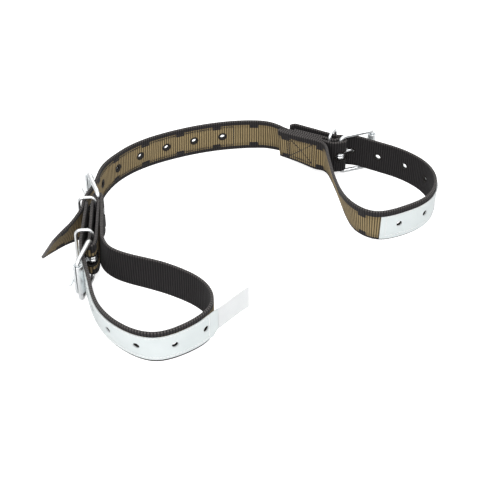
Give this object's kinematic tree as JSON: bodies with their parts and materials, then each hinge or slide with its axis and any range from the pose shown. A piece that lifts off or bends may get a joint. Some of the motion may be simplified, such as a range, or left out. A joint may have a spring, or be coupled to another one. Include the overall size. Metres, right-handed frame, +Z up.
{
  "type": "livestock leg hobble",
  "caption": "Two adjustable webbing leg cuffs joined by an adjustable centre strap, with wire roller buckles, keepers and punched white reinforcing strips.",
  "frame": {"origin": "middle of the overall box in plan, at the floor under the buckles' lower bars", "axes": "+X from the left cuff to the right cuff, +Y towards the arc of the centre strap, +Z up along the webbing's width"},
  "size_m": [0.4208, 0.358, 0.053],
  "materials": {
    "webbing_olive": "ribbed olive-brown jacquard face with black castellated borders, black back",
    "webbing_black": "the same webbing seen mostly from its ribbed black back",
    "strip_white": "smooth coated sheet",
    "thread_dark": "sewing thread",
    "thread_pale": "sewing thread",
    "tag_white": "woven tag, left blank",
    "zinc_wire": "bright plated wire",
    "zinc_sheet": "bright plated rolled sheet"
  },
  "bodies": {
    "centre": {"centre_strap": "webbing_olive", "centre_strip": "strip_white", "centre_thread": "thread_dark"},
    "left_cuff": {"left_cuff_strap": "webbing_black", "left_strip": "strip_white", "left_thread": "thread_pale", "tag": "tag_white", "centre_buckle_end": "webbing_olive", "centre_strip_end": "strip_white"},
    "right_cuff": {"right_cuff_strap": "webbing_black", "right_strip": "strip_white", "right_thread": "thread_pale", "box_stitch": "thread_dark", "centre_sewn_end": "webbing_olive"},
    "frame_1": {"buckle_frame_1": "zinc_wire"},
    "roller_1": {"buckle_roller_1": "zinc_sheet"},
    "tongue_1": {"buckle_tongue_1": "zinc_wire"},
    "keeper_1_loop": {"keeper_1": "zinc_wire"},
    "frame_2": {"buckle_frame_2": "zinc_wire"},
    "roller_2": {"buckle_roller_2": "zinc_sheet"},
    "tongue_2": {"buckle_tongue_2": "zinc_wire"},
    "keeper_2_loop": {"keeper_2": "zinc_wire"},
    "frame_3": {"buckle_frame_3": "zinc_wire"},
    "roller_3": {"buckle_roller_3": "zinc_sheet"},
    "tongue_3": {"buckle_tongue_3": "zinc_wire"},
    "keeper_3_loop": {"keeper_3": "zinc_wire"}
  },
  "joints": [
    {"name": "left_flex", "type": "hinge", "parent": "centre", "child": "left_cuff", "pos_m": [-0.15681, 0.072, 0.0258], "axis": [0, 0, 1], "range_deg": [-15, 15]},
    {"name": "right_flex", "type": "hinge", "parent": "centre", "child": "right_cuff", "pos_m": [0.03809, 0.1692, 0.0258], "axis": [0, 0, 1], "range_deg": [-15, 15]},
    {"name": "frame_1_swing", "type": "hinge", "parent": "left_cuff", "child": "frame_1", "pos_m": [-0.15324, 0.02936, 0.0258], "axis": [0, 0, 1], "range_deg": [0, 5]},
    {"name": "roller_1_spin", "type": "hinge", "parent": "frame_1", "child": "roller_1", "pos_m": [-0.16641, 0.06554, 0.0258], "axis": [0, 0, 1], "continuous": true},
    {"name": "tongue_1_lift", "type": "hinge", "parent": "frame_1", "child": "tongue_1", "pos_m": [-0.15324, 0.02936, 0.0258], "axis": [0, 0, 1], "range_deg": [0, 4]},
    {"name": "frame_2_swing", "type": "hinge", "parent": "left_cuff", "child": "frame_2", "pos_m": [-0.15325, -0.04747, 0.0258], "axis": [0, 0, 1], "range_deg": [-5, 0]},
    {"name": "roller_2_spin", "type": "hinge", "parent": "frame_2", "child": "roller_2", "pos_m": [-0.16191, -0.08498, 0.0258], "axis": [0, 0, 1], "continuous": true},
    {"name": "tongue_2_lift", "type": "hinge", "parent": "frame_2", "child": "tongue_2", "pos_m": [-0.15325, -0.04747, 0.0258], "axis": [0, 0, 1], "range_deg": [-4, 0]},
    {"name": "frame_3_swing", "type": "hinge", "parent": "right_cuff", "child": "frame_3", "pos_m": [0.10835, 0.13526, 0.0258], "axis": [0, 0, 1], "range_deg": [0, 5]},
    {"name": "roller_3_spin", "type": "hinge", "parent": "frame_3", "child": "roller_3", "pos_m": [0.14453, 0.14842, 0.0258], "axis": [0, 0, 1], "continuous": true},
    {"name": "tongue_3_lift", "type": "hinge", "parent": "frame_3", "child": "tongue_3", "pos_m": [0.10835, 0.13526, 0.0258], "axis": [0, 0, 1], "range_deg": [0, 4]},
    {"name": "keeper_1_slide", "type": "slide", "parent": "left_cuff", "child": "keeper_1_loop", "axis": [0.0523, -0.9986, 0], "range_m": [-0.0005, 0.003]},
    {"name": "keeper_2_slide", "type": "slide", "parent": "left_cuff", "child": "keeper_2_loop", "axis": [0.0523, -0.9986, 0], "range_m": [-0.02, 0.0015]},
    {"name": "keeper_3_slide", "type": "slide", "parent": "right_cuff", "child": "keeper_3_loop", "axis": [0.887, -0.4617, 0], "range_m": [-0.006, 0.001]}
  ]
}
